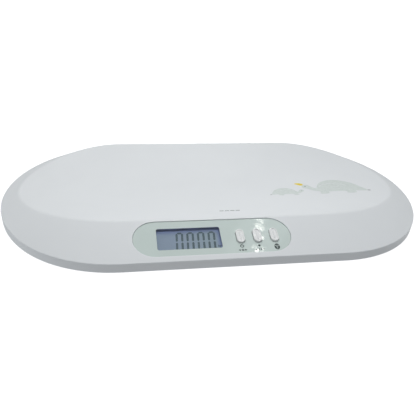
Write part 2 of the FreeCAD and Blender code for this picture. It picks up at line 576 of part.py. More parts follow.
def battery(y, end):
    nub, shoulder = 1.0, 0.5
    tip = end * CAP_TOUCH
    along = V(-end, 0, 0)
    can = Part.makeCylinder(CELL_R, CELL_LENGTH - nub, V(tip - end * nub, y, BATTERY_Z), along)
    rims = [e for e in can.Edges if e.Closed]
    can = can.makeFillet(shoulder, rims)
    return can.fuse(Part.makeCylinder(1.9, nub + 0.2, V(tip, y, BATTERY_Z), along)).removeSplitter()


def contact_springs():
    """Bowed leaf springs, open towards the contact plates, that press on each cell's flat end."""
    bow_r, leaf_t, half = 4.1, 0.3, 2.5
    reach = CAP_TOUCH - (CELL_LENGTH - CAP_TOUCH) - 0.1
    springs = []
    for y, end in battery_sites():
        across = V(0, 2 * half, 0)
        centre = V(-end * (CAP_TOUCH - reach + bow_r), y - half, BATTERY_Z)
        bow = Part.makeCylinder(bow_r, 2 * half, centre, across)
        bow = bow.cut(Part.makeCylinder(bow_r - leaf_t, 2 * half, centre, across))
        inner, outer = sorted((centre.x, centre.x + end * 2 * bow_r))
        bow = bow.common(box(inner, outer, y - half, y + half, BATTERY_Z - bow_r, BATTERY_Z + bow_r))
        x0, x1 = sorted((centre.x, -end * CAP_TOUCH))
        legs = [box(x0, x1, y - half, y + half, z, z + leaf_t)
                for z in (BATTERY_Z - bow_r, BATTERY_Z + bow_r - leaf_t)]
        springs.append(bow.multiFuse(legs).removeSplitter())
    return Part.makeCompound(springs)


def contact_plates():
    """Spring-steel plates at the compartment ends; the wide ones link two cells in series."""
    z0, z1, half = BATTERY_Z - 4.2, BATTERY_Z + 4.2, 4.4
    sites = battery_sites()
    spans = {-1: ((sites[0][0], sites[0][0]), (sites[1][0], sites[2][0])),
             1: ((sites[0][0], sites[1][0]), (sites[2][0], sites[2][0]))}
    plates = []
    for side, pairs in spans.items():
        x0, x1 = sorted((side * (CAVITY_X - 0.05), side * (CAVITY_X - 0.05 - PLATE_T)))
        plates += [box(x0, x1, low - half, high + half, z0, z1) for low, high in pairs]
    return Part.makeCompound(plates)


def battery_cover():
    """Cover with a sprung tongue cut into its front edge and two hinge knuckles at its back."""
    top = BASE_Z + DOOR_T
    plate = box(-DOOR_X, DOOR_X, BATTERY_Y + DOOR_FRONT, BATTERY_Y + DOOR_BACK, BASE_Z, top)
    corners = edges_where(plate, lambda p: abs(abs(p.x) - DOOR_X) < 1e-6 and
                          abs(p.y - BATTERY_Y - DOOR_FRONT) < 1e-6)
    plate = plate.makeFillet(1.5, corners)
    tongue_x, tongue_y, slot = 7.0, BATTERY_Y + DOOR_FRONT + 10.0, 0.9
    cuts = [box(side * tongue_x - slot / 2, side * tongue_x + slot / 2, BATTERY_Y + DOOR_FRONT - 1, tongue_y,
                BASE_Z - 1, top + 1) for side in (-1, 1)]
    grips = [box(-5, 5, BATTERY_Y + DOOR_FRONT + 1.6 + k * 1.8, BATTERY_Y + DOOR_FRONT + 2.4 + k * 1.8,
                 BASE_Z - 1, BASE_Z + 0.4) for k in range(4)]
    plate = plate.cut(Part.makeCompound(cuts + grips))
    stiffeners = [box(-20, 20, BATTERY_Y + y - 0.5, BATTERY_Y + y + 0.5, top - 0.2, top + 0.35)
                  for y in (-CELL_PITCH / 2, CELL_PITCH / 2)]
    hinges = []
    for side in (-1, 1):
        x0, x1 = side * HINGE_X - KNUCKLE_L / 2, side * HINGE_X + KNUCKLE_L / 2
        hinges.append(Part.makeCylinder(KNUCKLE_R, KNUCKLE_L, V(x0, HINGE_Y, HINGE_Z), V(1, 0, 0)))
        hinges.append(box(x0, x1, BATTERY_Y + DOOR_BACK - 0.5, HINGE_Y, HINGE_Z - 0.6, top))
        outer = side * (HINGE_X + KNUCKLE_L / 2)
        hinges.append(Part.makeCylinder(PEG_R, PEG_L, V(outer, HINGE_Y, HINGE_Z), V(side, 0, 0)))
    return plate.multiFuse(stiffeners + hinges).removeSplitter()


# ---- wiring ---------------------------------------------------------------------------------------
def lead(points, radius, bend):
    """Round lead along straight runs joined by tangent arcs of about the given bend radius."""
    edges, start = [], points[0]
    for before, corner, after in zip(points, points[1:], points[2:]):
        into, out = (corner - before).normalize(), (after - corner).normalize()
        half_turn = into.getAngle(out) / 2
        shorter = min(before.distanceToPoint(corner), corner.distanceToPoint(after))
        trim = min(bend * tan(half_turn), 0.45 * shorter)
        arc_r = trim / tan(half_turn)
        a, b = corner - into * trim, corner + out * trim
        middle = corner + (out - into).normalize() * (hypot(arc_r, trim) - arc_r)
        edges += [line(start, a), Part.Arc(a, middle, b).toShape()]
        start = b
    edges.append(line(start, points[-1]))
    path = Part.Wire(edges)
    section = Part.Wire([Part.makeCircle(radius, points[0], points[1] - points[0])])
    return path.makePipeShell([section], True, False)


def to_socket(name, floor_z):
    """Last three points of a lead: along the floor, up towards the board, square into its socket."""
    x = CONNECTOR_XS[name]
    h = BOARD_BACK - CONNECTOR_H
    return [V(x, -84.0, floor_z), deck_point(x, CONNECTOR_S, h - 11.0), deck_point(x, CONNECTOR_S, h)]


def cell_cable(name):
    x, y = FOOT_SITES[name]
    side = -1 if x > 0 else 1
    over, low = CELL_FRAME_TOP + CABLE_R + 0.2, BASE_FLOOR_Z + CABLE_R + 0.1
    blob_y = y - 2
    points = [V(x + side * 4, blob_y, over), V(x + side * 36, blob_y, over), V(x + side * 50, blob_y, low)]
    if name == "back_left":
        points += [V(-108, 60, low), V(-76, -50, low)]
    if name == "back_right":
        points += [V(100, 60, low), V(52, -30, low)]
    return lead(points + to_socket(name, low), CABLE_R, 9.0)


def battery_lead(name, side):
    low = BASE_FLOOR_Z + LEAD_R + 0.1
    y = battery_sites()[0 if side < 0 else 2][0]
    wall = CAVITY_X + TUB_WALL
    front = V(side * 37, -6 if side > 0 else -4, low)
    points = [V(side * wall, y, 18.5), V(side * (wall + 7), y, 18.5), V(side * 37, y - 8, 15.2), front]
    if side > 0:
        points.append(V(-14, -52, low))
    return lead(points + to_socket(name, low), LEAD_R, 6.0)


# ---- fasteners and export -------------------------------------------------------------------------
def case_screws():
    return Part.makeCompound([screw(x, y, SCREW_SEAT_Z, SCREW_TIP_Z, head_up=False)
                              for x, y in CASE_SCREW_SITES])


def build():
    nodes = {
        "tray": tray(), "base": base(), "display_panel": display_panel(), "display_lens": display_lens(),
        "display_gasket": display_gasket(), "lcd_glass": lcd_glass(), "lcd_backlight": lcd_backlight(),
        "lcd_frame": lcd_frame(), "zebra_strip": zebra_strip(), "circuit_board": circuit_board(),
        "board_components": board_components(), "wireless_module": wireless_module(),
        "board_connectors": board_connectors(), "board_screws": board_screws(),
        "tact_switches": tact_switches(), "strain_gauges": strain_gauges(), "cell_screws": cell_screws(),
        "contact_springs": contact_springs(), "contact_plates": contact_plates(),
        "battery_cover": battery_cover(), "case_screws": case_screws(),
        "battery_lead_black": battery_lead("black", -1), "battery_lead_red": battery_lead("red", 1),
    }
    for name, x in zip(BUTTON_NAMES, BUTTON_XS):
        nodes["button_" + name] = button(x)
        nodes["switch_plunger_" + name] = switch_plunger(x)
    for name, (x, y) in FOOT_SITES.items():
        nodes["load_cell_" + name] = load_cell(x, y)
        nodes["cell_frame_" + name] = cell_frame(x, y)
        nodes["foot_" + name] = foot(x, y)
        nodes["foot_pad_" + name] = foot_pad(x, y)
        nodes["cell_cable_" + name] = cell_cable(name)
    for number, (y, end) in enumerate(battery_sites(), 1):
        nodes["battery_%d" % number] = battery(y, end)
    return nodes


def main():
    os.makedirs("parts", exist_ok=True)
    for name, shape in build().items():
        solids = shape.Solids
        good = all(s.isValid() and s.isClosed() and s.Volume > 0 for s in solids)
        print("%-28s %2d solids %10.1f mm3 %s" % (name, len(solids), sum(s.Volume for s in solids),
                                                  "" if good and solids else "NOT A CLOSED SOLID"))
        Part.makeCompound(solids).exportStep("parts/%s.step" % name)


main()
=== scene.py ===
# Studio scene of a low digital tray scale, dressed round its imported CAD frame. Metres, +Z up.
import json
from math import ceil, cos, pi, radians, sin, tan

import bpy
from mathutils import Matrix, Vector
from mathutils.bvhtree import BVHTree
from mathutils.geometry import delaunay_2d_cdt


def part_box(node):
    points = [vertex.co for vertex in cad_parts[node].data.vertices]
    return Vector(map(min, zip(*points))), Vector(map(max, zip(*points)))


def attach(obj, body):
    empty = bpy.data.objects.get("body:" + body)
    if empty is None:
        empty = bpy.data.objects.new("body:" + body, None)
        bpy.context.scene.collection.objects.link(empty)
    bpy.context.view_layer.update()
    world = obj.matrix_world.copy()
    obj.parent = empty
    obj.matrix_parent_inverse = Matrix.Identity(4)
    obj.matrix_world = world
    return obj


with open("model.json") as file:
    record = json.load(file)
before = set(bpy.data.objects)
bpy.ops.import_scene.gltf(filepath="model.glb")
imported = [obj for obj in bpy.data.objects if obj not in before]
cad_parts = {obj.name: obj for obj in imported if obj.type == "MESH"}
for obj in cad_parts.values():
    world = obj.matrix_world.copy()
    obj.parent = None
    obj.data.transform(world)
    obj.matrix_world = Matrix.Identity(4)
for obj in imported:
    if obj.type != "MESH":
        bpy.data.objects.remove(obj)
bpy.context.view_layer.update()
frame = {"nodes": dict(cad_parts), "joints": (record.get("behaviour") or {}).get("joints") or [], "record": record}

MM = 0.001
HOUSING = "housing"

# ---- the sloping front deck: x along it, s up the slope from the rim's edge, h out of its surface ----
WINDOW_S, LENS_MIDDLE_H = 33.2, -1.5
PANEL_TOP_H, LCD_TOP_H = -0.8, -4.9

ACROSS = Vector((1, 0, 0))
OUT = -Vector(next(j["axis"] for j in frame["joints"] if j["name"] == "hold_press")).normalized()
UPHILL = OUT.cross(ACROSS)


def middle(node):
    low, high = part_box(node)
    return (low + high) / 2


LENS = middle("display_lens")
DECK_ORIGIN = LENS - ACROSS * LENS.x - UPHILL * (WINDOW_S * MM) - OUT * (LENS_MIDDLE_H * MM)


def deck(x, s, h):
    """Point in the row frame of deck coordinates in millimetres."""
    return DECK_ORIGIN + (ACROSS * x + UPHILL * s + OUT * h) * MM


# ---- camera, light and floor --------------------------------------------------------------------
CAMERA_AZIMUTH, CAMERA_ELEVATION, CAMERA_ROLL = -11.31, 29.63, 3.81
CAMERA_TARGET, CAMERA_DISTANCE = (-0.0167, -0.0464, 0.0324), 0.6398
CAMERA_LENS, SENSOR_WIDTH, NEAREST_SEEN = 41.92, 36.0, 0.01


def add_camera():
    azimuth, elevation, roll = radians(CAMERA_AZIMUTH), radians(CAMERA_ELEVATION), radians(CAMERA_ROLL)
    back = Vector((sin(azimuth) * cos(elevation), -cos(azimuth) * cos(elevation), sin(elevation)))
    level = (-back).cross(Vector((0, 0, 1))).normalized()
    upright = level.cross(-back)
    right = cos(roll) * level + sin(roll) * upright
    up = cos(roll) * upright - sin(roll) * level
    data = bpy.data.cameras.new("camera")
    data.lens, data.sensor_width = CAMERA_LENS, SENSOR_WIDTH
    data.clip_start = NEAREST_SEEN
    camera = bpy.data.objects.new("camera", data)
    camera.matrix_world = Matrix((right, up, back)).transposed().to_4x4()
    camera.matrix_world.translation = Vector(CAMERA_TARGET) + back * CAMERA_DISTANCE
    bpy.context.scene.collection.objects.link(camera)
    bpy.context.scene.camera = camera
    return camera


def area_light(name, place, towards, size, power, colour):
    data = bpy.data.lights.new(name, "AREA")
    data.shape, data.size, data.size_y = "RECTANGLE", size[0], size[1]
    data.energy, data.color = power, colour
    light = bpy.data.objects.new(name, data)
    light.location = place
    light.rotation_euler = (Vector(towards) - Vector(place)).to_track_quat("-Z", "Y").to_euler()
    light.visible_camera = False
    bpy.context.scene.collection.objects.link(light)
    return light


# bright panes of a far window: shift to the side, lift, width and height in metres, from the top down
PANES = (
    (0.001, 0.058, 0.036, 0.003), (0.003, 0.052, 0.032, 0.003), (-0.003, 0.041, 0.010, 0.005),
    (-0.008, 0.031, 0.014, 0.010), (0.009, 0.024, 0.018, 0.016), (0.011, -0.013, 0.011, 0.016),
    (-0.013, -0.028, 0.013, 0.005), (-0.021, -0.046, 0.007, 0.012), (-0.007, -0.062, 0.018, 0.014),
    (0.015, -0.055, 0.012, 0.008), (0.005, -0.067, 0.030, 0.005),
)
PANE_GLARE, PANE_TINT = 42.0, (1.0, 0.98, 0.92)    # watts per square metre of pane
HAZE_SIZE, HAZE_POWER, HAZE_TINT = (0.18, 0.26), 0.08, (0.92, 0.97, 1.0)
WINDOW_DISTANCE, HAZE_BEHIND = 1.3, 0.05
GLARE_X, GLARE_S = 30.5, 34.0                       # spot on the panel, between the keys, that mirrors it


def add_window_blind(camera):
    """Bright panes of a far window, placed where the polished panel mirrors them to the viewer."""
    mirror_at = deck(GLARE_X, GLARE_S, PANEL_TOP_H)

    def mirror(way):
        return way - 2 * way.dot(OUT) * OUT

    aside, rise = (mirror(camera.matrix_world.col[k].to_3d()) for k in (0, 1))
    mirrored = mirror((mirror_at - camera.matrix_world.translation).normalized())
    centre = mirror_at + mirrored * WINDOW_DISTANCE
    for k, (shift, lift, width, height) in enumerate(PANES):
        area_light(f"pane_{k}", centre + aside * shift + rise * lift, mirror_at, (width, height),
                   PANE_GLARE * width * height, PANE_TINT)
    area_light("window_haze", centre + mirrored * HAZE_BEHIND, mirror_at, HAZE_SIZE, HAZE_POWER, HAZE_TINT)


WARM, PALE_BLUE, COOL = (1.0, 0.985, 0.955), (0.97, 0.985, 1.0), (0.93, 0.97, 1.0)
ROSE, WHITE = (1.0, 0.97, 0.98), (1.0, 1.0, 1.0)
# name, place and size in metres, power in watts, colour; a lamp below zero height shines through the floor
LAMPS = (
    ("key", (-0.15, 1.7, 2.0), (2.0, 1.2), 15.3, WARM),
    ("overhead", (0.0, -0.05, 0.8), (0.8, 0.2), 2.44, PALE_BLUE),
    ("backdrop", (0.4, 3.0, 0.6), (2.4, 1.2), 6.0, PALE_BLUE),
    ("below", (0.0, 0.2, -1.3), (1.6, 1.2), 13.6, ROSE),
    ("left_front", (-1.5, -0.6, -0.35), (1.0, 0.12), 2.7, COOL),
    ("left", (-1.5, 0.35, -0.35), (1.0, 0.12), 2.3, COOL),
    ("right", (1.5, 0.35, -0.45), (1.0, 0.12), 3.1, WHITE),
)
LIT_POINT = (0, 0, 0.03)


def add_lights():
    """Soft studio lamps; the one overhead leaves no reflection in the display's window."""
    for name, place, size, power, colour in LAMPS:
        lamp = area_light(name, place, LIT_POINT, size, power, colour)
        lamp.visible_glossy = name != "overhead"


def light_path_mix(tree, seen_by_camera, otherwise):
    """Value that is one number for what the camera sees directly and another for light that bounces."""
    path = tree.nodes.new("ShaderNodeLightPath")
    mix = tree.nodes.new("ShaderNodeMapRange")
    mix.inputs["To Min"].default_value = otherwise
    mix.inputs["To Max"].default_value = seen_by_camera
    tree.links.new(path.outputs["Is Camera Ray"], mix.inputs["Value"])
    return mix.outputs["Result"]


# glow of the surroundings as the camera sees it, and as it lights the object
WORLD_TINT, WORLD_SEEN, WORLD_LIGHT = (0.92, 0.965, 1.0, 1), 1.1, 0.36
FLOOR_COLOUR, FLOOR_SEEN, FLOOR_LIGHT, FLOOR_SIZE = (0.40, 0.405, 0.41, 1), 0.93, 0.13, 14


def add_world():
    world = bpy.data.worlds.new("studio")
    bpy.context.scene.world = world
    world.use_nodes = True
    tree = world.node_tree
    background = tree.nodes["Background"]
    background.inputs["Color"].default_value = WORLD_TINT
    tree.links.new(light_path_mix(tree, WORLD_SEEN, WORLD_LIGHT), background.inputs["Strength"])


def add_floor():
    """Pale floor that hides nothing from below and lets the lamps under it through."""
    bpy.ops.mesh.primitive_plane_add(size=FLOOR_SIZE)
    floor = bpy.context.object
    floor.name = "floor"
    material = bpy.data.materials.new("pale_floor")
    material.use_nodes = True
    tree = material.node_tree
    shader = tree.nodes["Principled BSDF"]
    shader.inputs["Base Color"].default_value = FLOOR_COLOUR
    shader.inputs["Roughness"].default_value = 0.9
    shader.inputs["Emission Color"].default_value = (1, 1, 1, 1)
    tree.links.new(light_path_mix(tree, FLOOR_SEEN, FLOOR_LIGHT), shader.inputs["Emission Strength"])
    open_way = tree.nodes.new("ShaderNodeMath")
    open_way.operation = "MAXIMUM"
    tree.links.new(tree.nodes.new("ShaderNodeNewGeometry").outputs["Backfacing"], open_way.inputs[0])
    tree.links.new(tree.nodes.new("ShaderNodeLightPath").outputs["Is Shadow Ray"], open_way.inputs[1])
    mix = tree.nodes.new("ShaderNodeMixShader")
    tree.links.new(open_way.outputs["Value"], mix.inputs["Fac"])
    tree.links.new(shader.outputs["BSDF"], mix.inputs[1])
    tree.links.new(tree.nodes.new("ShaderNodeBsdfTransparent").outputs["BSDF"], mix.inputs[2])
    tree.links.new(mix.outputs["Shader"], tree.nodes["Material Output"].inputs["Surface"])
    floor.data.materials.append(material)


# ---- materials ----------------------------------------------------------------------------------
class Recipe:
    """Node tree of one procedural material, built round a Principled shader."""

    def __init__(self, name, roughness, **sockets):
        self.material = bpy.data.materials.new(name)
        self.material.use_nodes = True
        self.tree = self.material.node_tree
        self.shader = self.tree.nodes["Principled BSDF"]
        self.coords = self.tree.nodes.new("ShaderNodeTexCoord").outputs["Object"]
        self.shader.inputs["Roughness"].default_value = roughness
        self.roughness = roughness
        for socket, value in sockets.items():
            self.shader.inputs[socket.replace("_", " ")].default_value = value

    def noise(self, scale, detail=3.0, stretch=(1, 1, 1)):
        """Noise of about 1/scale metres, stretched along an axis where its number is small."""
        mapping = self.tree.nodes.new("ShaderNodeMapping")
        mapping.inputs["Scale"].default_value = stretch
        node = self.tree.nodes.new("ShaderNodeTexNoise")
        node.inputs["Scale"].default_value = scale
        node.inputs["Detail"].default_value = detail
        self.tree.links.new(self.coords, mapping.inputs["Vector"])
        self.tree.links.new(mapping.outputs["Vector"], node.inputs["Vector"])
        return node.outputs["Fac"]

    def mapped(self, value, low, high, start=0.3, end=0.7):
        node = self.tree.nodes.new("ShaderNodeMapRange")
        for name, number in (("From Min", start), ("From Max", end), ("To Min", low), ("To Max", high)):
            node.inputs[name].default_value = number
        self.tree.links.new(value, node.inputs["Value"])
        return node.outputs["Result"]

    def blend(self, share, first, second):
        """Colour between two colours or colour sockets."""
        node = self.tree.nodes.new("ShaderNodeMix")
        node.data_type = "RGBA"
        self.tree.links.new(share, node.inputs["Factor"])
        for socket, colour in ((node.inputs["A"], first), (node.inputs["B"], second)):
            if isinstance(colour, bpy.types.NodeSocket):
                self.tree.links.new(colour, socket)
            else:
                socket.default_value = (*colour, 1)
        return node.outputs["Result"]

    def colour(self, socket):
        self.tree.links.new(socket, self.shader.inputs["Base Color"])

    def mottle(self, colour, amount, scale):
        """Base colour that drifts by a share of itself."""
        dark = [c * (1 - amount) for c in colour]
        light = [min(1, c * (1 + amount)) for c in colour]
        share = self.mapped(self.noise(scale, 2), 0, 1)
        result = self.blend(share, dark, light)
        self.colour(result)
        return result

    def uneven_gloss(self, spread, scale):
        low, high = max(0.02, self.roughness - spread), self.roughness + spread
        self.tree.links.new(self.mapped(self.noise(scale, 4), low, high), self.shader.inputs["Roughness"])

    def bump(self, height, depth_mm):
        node = self.tree.nodes.new("ShaderNodeBump")
        node.inputs["Strength"].default_value = 1.0
        node.inputs["Distance"].default_value = depth_mm * MM
        self.tree.links.new(height, node.inputs["Height"])
        if self.shader.inputs["Normal"].is_linked:
            self.tree.links.new(self.shader.inputs["Normal"].links[0].from_socket, node.inputs["Normal"])
        self.tree.links.new(node.outputs["Normal"], self.shader.inputs["Normal"])

    def painted_edge_highlight(self, base, tint, width_mm, share):
        """Tint where the surface bends sharply: a lighter tint paints a highlight along the edge, a darker one
        paints shade there.
        """
        bevel = self.tree.nodes.new("ShaderNodeBevel")
        bevel.samples = 4
        bevel.inputs["Radius"].default_value = width_mm * MM
        geometry = self.tree.nodes.new("ShaderNodeNewGeometry")
        dot = self.tree.nodes.new("ShaderNodeVectorMath")
        dot.operation = "DOT_PRODUCT"
        self.tree.links.new(bevel.outputs["Normal"], dot.inputs[0])
        self.tree.links.new(geometry.outputs["Normal"], dot.inputs[1])
        self.colour(self.blend(self.mapped(dot.outputs["Value"], share, 0.0, 0.75, 0.99), base, tint))


def plastic(name, colour, roughness, grain=0.0, grain_scale=1800, mottle=0.012, coat=0.0):
    recipe = Recipe(name, roughness, Coat_Weight=coat, Coat_Roughness=0.12, IOR=1.5)
    recipe.mottle(colour, mottle, 30)
    recipe.uneven_gloss(roughness * 0.18, 90)
    if grain:
        recipe.bump(recipe.noise(grain_scale, 2), grain)
    return recipe.material


def metal(name, colour, roughness, brush=(1, 1, 1)):
    """Bare metal, its fine marks drawn out along the axis where brush is small."""
    recipe = Recipe(name, roughness, Metallic=1.0)
    recipe.mottle(colour, 0.12, 220)
    recipe.uneven_gloss(roughness * 0.35, 350)
    recipe.bump(recipe.noise(2600, 3, brush), 0.02)
    return recipe.material


def rubber(name, colour, roughness, grain=0.04):
    recipe = Recipe(name, roughness, Sheen_Weight=0.08, Sheen_Roughness=0.5)
    recipe.mottle(colour, 0.10, 160)
    recipe.bump(recipe.noise(2200, 3), grain)
    return recipe.material


def uphill_distance(recipe):
    """Millimetres up the slope of the front deck, measured from the rim's edge."""
    dot = recipe.tree.nodes.new("ShaderNodeVectorMath")
    dot.operation = "DOT_PRODUCT"
    dot.inputs[1].default_value = UPHILL
    recipe.tree.links.new(recipe.coords, dot.inputs[0])
    shift = recipe.tree.nodes.new("ShaderNodeMath")
    shift.operation = "MULTIPLY_ADD"
    shift.inputs[1].default_value = 1 / MM
    shift.inputs[2].default_value = -DECK_ORIGIN.dot(UPHILL) / MM
    recipe.tree.links.new(dot.outputs["Value"], shift.inputs[0])
    return shift.outputs["Value"]


def along_distance(recipe):
    split = recipe.tree.nodes.new("ShaderNodeSeparateXYZ")
    recipe.tree.links.new(recipe.coords, split.inputs["Vector"])
    return split.outputs["X"]


def lcd_material(name):
    """Blue-grey liquid crystal that turns violet towards its top and right edges, with a painted shadow of the
    window's edge along its very top.
    """
    recipe = Recipe(name, 0.6, Specular_IOR_Level=0.1)
    grey, slate = (0.230, 0.286, 0.364), (0.246, 0.314, 0.358)
    # the violet is the crystal's own tint at its edges, lightened as painted light against the shade the panel
    # casts there; the darkest colour is a painted shadow of the window's upper edge
    painted_top_shadow, violet = (0.120, 0.150, 0.280), (0.155, 0.198, 0.405)
    body = recipe.blend(recipe.mapped(along_distance(recipe), 0, 1, -0.070, -0.030), grey, slate)
    cloudy = recipe.blend(recipe.mapped(recipe.noise(60, 2), 0, 0.25), body, (0.212, 0.268, 0.335))
    fade = recipe.blend(recipe.mapped(uphill_distance(recipe), 0, 0.95, 41.5, 49.5), cloudy, violet)
    # painted shadow: the last millimetres at the top darken as if shaded by the window's upper edge
    top = recipe.blend(recipe.mapped(uphill_distance(recipe), 0, 1, 50.4, 52.0), fade, painted_top_shadow)
    right = recipe.blend(recipe.mapped(along_distance(recipe), 0, 0.7, -0.0215, -0.0160), top, violet)
    recipe.colour(right)
    return recipe.material


def window_material(name):
    """Clear acrylic with a trace of haze."""
    recipe = Recipe(name, 0.01, Transmission_Weight=1.0, IOR=1.46)
    haze = recipe.blend(recipe.mapped(recipe.noise(35, 2), 0, 1), (0.975, 0.985, 0.995), (0.990, 0.996, 1.0))
    recipe.colour(haze)
    return recipe.material


def panel_material(name):
    """Polished pale green-grey panel, very slightly wavy as thin moulded sheet is."""
    recipe = Recipe(name, 0.042, IOR=1.5)
    recipe.mottle((0.650, 0.729, 0.692), 0.012, 40)
    recipe.bump(recipe.noise(160, 2, (1, 0.7, 1)), 0.008)
    recipe.bump(recipe.noise(2400, 2), 0.0002)
    return recipe.material


def tray_material(name):
    recipe = Recipe(name, 0.50, Coat_Weight=0.08, Coat_Roughness=0.35, IOR=1.46)
    base = recipe.mottle((0.800, 0.815, 0.825), 0.010, 14)
    # painted highlight: a lighter tint along the tray's sharp edges, such as the rim and the edges of the panel's
    # recess, as if they caught the light
    recipe.painted_edge_highlight(base, (0.92, 0.935, 0.95), 2.2, 1.0)
    recipe.uneven_gloss(0.04, 60)
    recipe.bump(recipe.noise(22, 1), 0.10)
    recipe.bump(recipe.noise(1500, 2), 0.012)
    return recipe.material


def board_material(name):
    """Solder mask over a grid of tracks."""
    recipe = Recipe(name, 0.30, Coat_Weight=0.4, Coat_Roughness=0.2)
    mask = recipe.blend(recipe.mapped(recipe.noise(420, 0, (1, 0.18, 1)), 0, 1, 0.48, 0.52),
                        (0.012, 0.13, 0.050), (0.020, 0.20, 0.085))
    recipe.colour(mask)
    recipe.bump(recipe.noise(420, 0, (1, 0.18, 1)), 0.03)
    return recipe.material


def battery_material(name):
    """Plain printed sleeve: dark body with a paler band towards one end."""
    recipe = Recipe(name, 0.28, Metallic=0.6, Coat_Weight=0.5)
    dark, pale = (0.045, 0.055, 0.075), (0.42, 0.44, 0.46)
    recipe.colour(recipe.blend(recipe.mapped(along_distance(recipe), 0, 1, 0.0098, 0.0102), dark, pale))
    recipe.bump(recipe.noise(500, 2), 0.01)
    return recipe.material


MATERIALS = {
    "tray_shell": tray_material,
    "base_shell": lambda n: plastic(n, (0.74, 0.76, 0.78), 0.52, grain=0.035, grain_scale=1500),
    "panel": panel_material,
    "clear_window": window_material,
    "black_foam": lambda n: rubber(n, (0.020, 0.026, 0.062), 0.85, grain=0.10),
    "lcd_glass": lcd_material,
    "light_guide": lambda n: plastic(n, (0.80, 0.83, 0.86), 0.35, grain=0.01),
    "white_moulding": lambda n: plastic(n, (0.78, 0.78, 0.75), 0.42, grain=0.02),
    "circuit_board": board_material,
    "black_component": lambda n: plastic(n, (0.022, 0.022, 0.025), 0.45, grain=0.02, mottle=0.1),
    "shield_can": lambda n: metal(n, (0.66, 0.66, 0.65), 0.30, (1, 0.1, 1)),
    "screw_steel": lambda n: metal(n, (0.52, 0.52, 0.53), 0.32),
    "contact_metal": lambda n: metal(n, (0.70, 0.67, 0.58), 0.25, (1, 1, 0.1)),
    "load_cell_steel": lambda n: metal(n, (0.46, 0.47, 0.49), 0.38, (1, 0.06, 1)),
    "sealant": lambda n: rubber(n, (0.74, 0.72, 0.66), 0.45, grain=0.05),
    "button": lambda n: plastic(n, (0.885, 0.885, 0.875), 0.24, grain=0.001, coat=0.4),
    "foot": lambda n: plastic(n, (0.72, 0.74, 0.76), 0.48, grain=0.03),
    "pad_rubber": lambda n: rubber(n, (0.10, 0.102, 0.106), 0.72, grain=0.06),
    "grey_cable": lambda n: rubber(n, (0.28, 0.285, 0.295), 0.5),
    "black_lead": lambda n: rubber(n, (0.016, 0.016, 0.017), 0.45),
    "red_lead": lambda n: rubber(n, (0.50, 0.020, 0.014), 0.45),
    "battery_can": battery_material,
}


def dress_nodes():
    made = {slot: recipe(slot) for slot, recipe in MATERIALS.items()}
    for entry in frame["record"]["subparts"]:
        node = frame["nodes"][entry["node"]]
        for index in range(max(1, len(node.material_slots))):
            if not node.material_slots:
                node.data.materials.append(None)
            node.material_slots[index].material = made[entry["material_slot"]]
    frame["nodes"]["display_lens"].visible_shadow = False


# ---- printed layers -----------------------------------------------------------------------------
def ring(cx, cy, radius, start=0.0, end=360.0, steps=28):
    """Points round an arc, in order; a full circle leaves its last point out."""
    count = steps if end - start >= 360 else steps + 1
    span = radians(end - start) / steps
    return [(cx + radius * cos(radians(start) + span * k), cy + radius * sin(radians(start) + span * k))
            for k in range(count)]


def ellipse(cx, cy, rx, ry, turn=0.0, steps=28):
    a = radians(turn)
    return [(cx + rx * cos(t) * cos(a) - ry * sin(t) * sin(a),
             cy + rx * cos(t) * sin(a) + ry * sin(t) * cos(a))
            for t in (2 * pi * k / steps for k in range(steps))]


def band(cx, cy, inner, outer, start, end, steps=16):
    """Closed outline of a stretch of a ring."""
    return ring(cx, cy, outer, start, end, steps) + ring(cx, cy, inner, start, end, steps)[::-1]


def bar(x0, y0, x1, y1, r=0.0):
    """Upright rectangle, its corners rounded where r is given."""
    if not r:
        return [(x0, y0), (x1, y0), (x1, y1), (x0, y1)]
    corners = ((x1 - r, y1 - r, 0), (x0 + r, y1 - r, 90), (x0 + r, y0 + r, 180), (x1 - r, y0 + r, 270))
    return [p for cx, cy, start in corners for p in ring(cx, cy, r, start, start + 90, 6)]


def smooth(points, steps=6):
    """Closed curve through a few points."""
    out, n = [], len(points)
    for i in range(n):
        p0, p1, p2, p3 = (Vector(points[(i + k) % n]) for k in (-1, 0, 1, 2))
        for k in range(steps):
            t = k / steps
            p = 0.5 * (2 * p1 + (p2 - p0) * t + (2 * p0 - 5 * p1 + 4 * p2 - p3) * t * t
                       + (3 * p1 - p0 - 3 * p2 + p3) * t ** 3)
            out.append((p.x, p.y))
    return out


def inside(point, loops):
    """Even-odd test against every loop, so that a loop in a loop is a hole."""
    x, y = point
    odd = False
    for loop in loops:
        for (x0, y0), (x1, y1) in zip(loop, loop[1:] + loop[:1]):
            if (y0 > y) != (y1 > y) and x < x0 + (y - y0) / (y1 - y0) * (x1 - x0):
                odd = not odd
    return odd


def filled(loops, spacing):
    """Triangles that fill the loops, with extra points inside, spacing apart, so they can follow a curve."""
    points, edges = [], []
    for loop in loops:
        first = len(points)
        points += [Vector(p) for p in loop]
        edges += [(first + k, first + (k + 1) % len(loop)) for k in range(len(loop))]
    if spacing:
        xs, ys = [p.x for p in points], [p.y for p in points]
        for i in range(ceil((max(xs) - min(xs)) / spacing)):
            for j in range(ceil((max(ys) - min(ys)) / spacing)):
                spot = (min(xs) + (i + 0.5) * spacing, min(ys) + (j + 0.5) * spacing)
                if inside(spot, loops):
                    points.append(Vector(spot))
    verts, _, faces, *_ = delaunay_2d_cdt(points, edges, [], 0, 1e-7)
    kept = [f for f in faces if inside(sum((verts[i] for i in f), Vector((0, 0))) / len(f), loops)]
    return verts, kept


